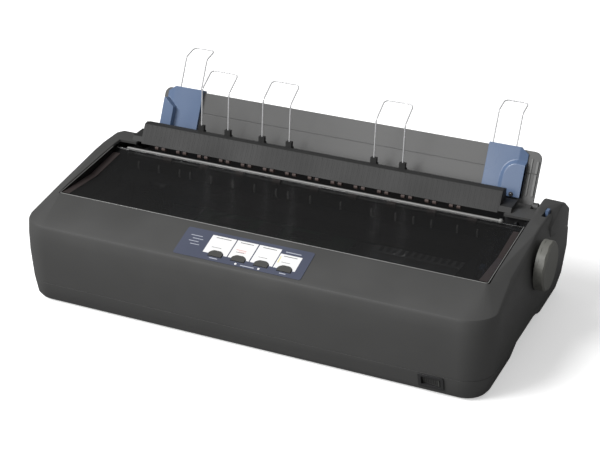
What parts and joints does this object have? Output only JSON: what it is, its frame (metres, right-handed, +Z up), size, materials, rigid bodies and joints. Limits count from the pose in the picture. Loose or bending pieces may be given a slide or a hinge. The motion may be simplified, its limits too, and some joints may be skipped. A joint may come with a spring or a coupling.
{
  "type": "dot matrix printer",
  "caption": "Wide-carriage dot matrix printer with a hinged smoked cover, sheet guide, wire paper supports, feed knob and a working print mechanism.",
  "frame": {"origin": "on the desk, under the centre of the whole envelope", "axes": "+X along the carriage to the side with the feed knob, +Y to the rear, +Z up"},
  "size_m": [0.538, 0.2866, 0.2023],
  "materials": {
    "case_charcoal": "fine moulded texture",
    "smoked_cover": "polished, dark smoked",
    "guide_grey": "satin",
    "guide_blue": "satin",
    "steel_wire": "bright",
    "steel_plate": "zinc plated",
    "steel_shaft": "ground",
    "rubber": "matt",
    "knob_grey": "satin",
    "black_plastic": "satin",
    "button_dark": "satin",
    "panel_skin": "printed film",
    "lamp_white": "clear",
    "gear_white": "satin",
    "brass": "machined",
    "motor_black": "satin",
    "mask_steel": "bright",
    "ribbon_cloth": "inked",
    "knob_slate": "satin",
    "board_green": "solder mask"
  },
  "bodies": {
    "root": {"lower_case": "case_charcoal", "upper_case": "case_charcoal", "rubber_feet": "rubber", "stacker_bar": "case_charcoal", "power_bezel": "black_plastic", "control_panel": "panel_skin", "indicator_lamps": "lamp_white", "chassis_plate": "steel_plate", "left_side_frame": "steel_plate", "right_side_frame": "steel_plate", "feed_motor": "motor_black", "tractor_support_shaft": "steel_shaft", "carriage_rod": "steel_shaft", "guide_rail": "steel_plate", "carriage_motor": "motor_black", "timing_belt": "rubber", "ribbon_cartridge": "black_plastic", "ribbon_band": "ribbon_cloth", "paper_guide": "black_plastic", "main_board": "board_green", "power_supply": "steel_plate", "ac_inlet": "black_plastic", "interface_connectors": "steel_plate", "case_screws": "steel_shaft"},
    "cover": {"printer_cover": "smoked_cover"},
    "sheet_guide": {"sheet_guide": "guide_grey"},
    "left_edge_guide": {"left_edge_guide": "guide_blue"},
    "left_extension_wire": {"left_extension_wire": "steel_wire"},
    "right_edge_guide": {"right_edge_guide": "guide_blue"},
    "right_extension_wire": {"right_extension_wire": "steel_wire"},
    "stacker_wire_1": {"stacker_wire_1": "steel_wire"},
    "stacker_wire_2": {"stacker_wire_2": "steel_wire"},
    "stacker_wire_3": {"stacker_wire_3": "steel_wire"},
    "platen": {"platen_roller": "rubber", "platen_shaft": "steel_shaft", "platen_gear": "gear_white", "feed_knob": "knob_grey"},
    "idler_gear_1": {"idler_gear_1": "gear_white"},
    "feed_pinion": {"feed_pinion": "brass"},
    "idler_gear_2": {"idler_gear_2": "gear_white"},
    "tractor_drive": {"tractor_gear": "gear_white", "tractor_drive_shaft": "steel_shaft"},
    "eject_shaft": {"eject_shaft": "black_plastic"},
    "carriage": {"carriage": "black_plastic", "print_head": "motor_black", "ribbon_mask": "mask_steel"},
    "drive_pulley": {"drive_pulley": "gear_white"},
    "tension_pulley": {"tension_pulley": "gear_white"},
    "head_gap_lever": {"head_gap_lever": "guide_blue"},
    "release_lever": {"release_lever": "guide_blue"},
    "power_rocker": {"power_rocker": "black_plastic"},
    "button_1": {"button_1": "button_dark"},
    "button_2": {"button_2": "button_dark"},
    "button_3": {"button_3": "button_dark"},
    "button_4": {"button_4": "button_dark"},
    "left_tractor": {"left_tractor": "black_plastic"},
    "left_tractor_cover": {"left_tractor_cover": "black_plastic"},
    "right_tractor": {"right_tractor": "black_plastic"},
    "right_tractor_cover": {"right_tractor_cover": "black_plastic"},
    "ribbon_knob": {"ribbon_knob": "knob_slate"}
  },
  "joints": [
    {"name": "cover_hinge", "type": "hinge", "parent": "root", "child": "cover", "pos_m": [-0.006, 0.03424, 0.1136], "axis": [1, 0, 0], "range_deg": [-65, 0]},
    {"name": "sheet_guide_hinge", "type": "hinge", "parent": "root", "child": "sheet_guide", "pos_m": [-0.006, 0.08224, 0.1125], "axis": [1, 0, 0], "range_deg": [-50, 0]},
    {"name": "left_edge_guide_slide", "type": "slide", "parent": "sheet_guide", "child": "left_edge_guide", "axis": [1, 0, 0], "range_m": [0, 0.06]},
    {"name": "left_extension_wire_slide", "type": "slide", "parent": "left_edge_guide", "child": "left_extension_wire", "axis": [0, 0.4462, 0.8949], "range_m": [-0.032, 0]},
    {"name": "right_edge_guide_slide", "type": "slide", "parent": "sheet_guide", "child": "right_edge_guide", "axis": [1, 0, 0], "range_m": [-0.06, 0]},
    {"name": "right_extension_wire_slide", "type": "slide", "parent": "right_edge_guide", "child": "right_extension_wire", "axis": [0, 0.4462, 0.8949], "range_m": [-0.032, 0]},
    {"name": "stacker_wire_1_slide", "type": "slide", "parent": "root", "child": "stacker_wire_1", "axis": [0, 0.0872, 0.9962], "range_m": [0, 0.007]},
    {"name": "stacker_wire_2_slide", "type": "slide", "parent": "root", "child": "stacker_wire_2", "axis": [0, 0.0872, 0.9962], "range_m": [0, 0.007]},
    {"name": "stacker_wire_3_slide", "type": "slide", "parent": "root", "child": "stacker_wire_3", "axis": [0, 0.0872, 0.9962], "range_m": [0, 0.007]},
    {"name": "platen_spin", "type": "hinge", "parent": "root", "child": "platen", "pos_m": [-0.006, 0.00924, 0.087], "axis": [1, 0, 0], "continuous": true},
    {"name": "idler_gear_1_spin", "type": "hinge", "parent": "root", "child": "idler_gear_1", "pos_m": [-0.241, 0.03045, 0.06579], "axis": [1, 0, 0], "continuous": true},
    {"name": "feed_pinion_spin", "type": "hinge", "parent": "root", "child": "feed_pinion", "pos_m": [-0.241, 0.04734, 0.05604], "axis": [1, 0, 0], "continuous": true},
    {"name": "idler_gear_2_spin", "type": "hinge", "parent": "root", "child": "idler_gear_2", "pos_m": [-0.241, 0.06962, 0.05917], "axis": [1, 0, 0], "continuous": true},
    {"name": "tractor_drive_spin", "type": "hinge", "parent": "root", "child": "tractor_drive", "pos_m": [-0.006, 0.09358, 0.07722], "axis": [1, 0, 0], "continuous": true},
    {"name": "eject_shaft_spin", "type": "hinge", "parent": "root", "child": "eject_shaft", "pos_m": [-0.006, 0.04224, 0.103], "axis": [1, 0, 0], "continuous": true},
    {"name": "carriage_slide", "type": "slide", "parent": "root", "child": "carriage", "axis": [1, 0, 0], "range_m": [0, 0.33]},
    {"name": "drive_pulley_spin", "type": "hinge", "parent": "root", "child": "drive_pulley", "pos_m": [0.194, -0.04576, 0.04], "axis": [0, 0, 1], "range_deg": [-3160, 0]},
    {"name": "tension_pulley_spin", "type": "hinge", "parent": "root", "child": "tension_pulley", "pos_m": [-0.206, -0.04576, 0.04], "axis": [0, 0, 1], "range_deg": [-3160, 0]},
    {"name": "head_gap_lever_pivot", "type": "hinge", "parent": "root", "child": "head_gap_lever", "pos_m": [0.214, -0.03376, 0.061], "axis": [1, 0, 0], "range_deg": [-18, 0]},
    {"name": "release_lever_pivot", "type": "hinge", "parent": "root", "child": "release_lever", "pos_m": [0.246, 0.06374, 0.092], "axis": [1, 0, 0], "range_deg": [0, 14]},
    {"name": "power_rocker_pivot", "type": "hinge", "parent": "root", "child": "power_rocker", "pos_m": [0.1975, -0.13326, 0.01764], "axis": [0, -0.2607, 0.9654], "range_deg": [0, 14]},
    {"name": "button_1_press", "type": "slide", "parent": "root", "child": "button_1", "axis": [0, 0.3009, -0.9537], "range_m": [0, 0.001], "stiffness_N_per_m": 600},
    {"name": "button_2_press", "type": "slide", "parent": "root", "child": "button_2", "axis": [0, 0.3009, -0.9537], "range_m": [0, 0.001], "stiffness_N_per_m": 600},
    {"name": "button_3_press", "type": "slide", "parent": "root", "child": "button_3", "axis": [0, 0.3009, -0.9537], "range_m": [0, 0.001], "stiffness_N_per_m": 600},
    {"name": "button_4_press", "type": "slide", "parent": "root", "child": "button_4", "axis": [0, 0.3009, -0.9537], "range_m": [0, 0.001], "stiffness_N_per_m": 600},
    {"name": "left_tractor_slide", "type": "slide", "parent": "root", "child": "left_tractor", "axis": [1, 0, 0], "range_m": [0, 0.03]},
    {"name": "left_tractor_cover_hinge", "type": "hinge", "parent": "left_tractor", "child": "left_tractor_cover", "pos_m": [-0.186, 0.10143, 0.08733], "axis": [0, 0.7894, -0.6139], "range_deg": [-100, 0]},
    {"name": "right_tractor_slide", "type": "slide", "parent": "root", "child": "right_tractor", "axis": [1, 0, 0], "range_m": [-0.1, 0]},
    {"name": "right_tractor_cover_hinge", "type": "hinge", "parent": "right_tractor", "child": "right_tractor_cover", "pos_m": [0.174, 0.10143, 0.08733], "axis": [0, 0.7894, -0.6139], "range_deg": [0, 100]},
    {"name": "ribbon_knob_spin", "type": "hinge", "parent": "root", "child": "ribbon_knob", "pos_m": [-0.206, -0.08476, 0.09], "axis": [0, 0, 1], "continuous": true}
  ],
  "couplings": [
    {"joint": "idler_gear_1_spin", "follows": "platen_spin", "ratio": -1.5},
    {"joint": "feed_pinion_spin", "follows": "platen_spin", "ratio": 2.4},
    {"joint": "idler_gear_2_spin", "follows": "platen_spin", "ratio": -1.2},
    {"joint": "tractor_drive_spin", "follows": "platen_spin", "ratio": 1.2},
    {"joint": "drive_pulley_spin", "follows": "carriage_slide", "rad_per_m": -166.67},
    {"joint": "tension_pulley_spin", "follows": "carriage_slide", "rad_per_m": -166.67}
  ]
}
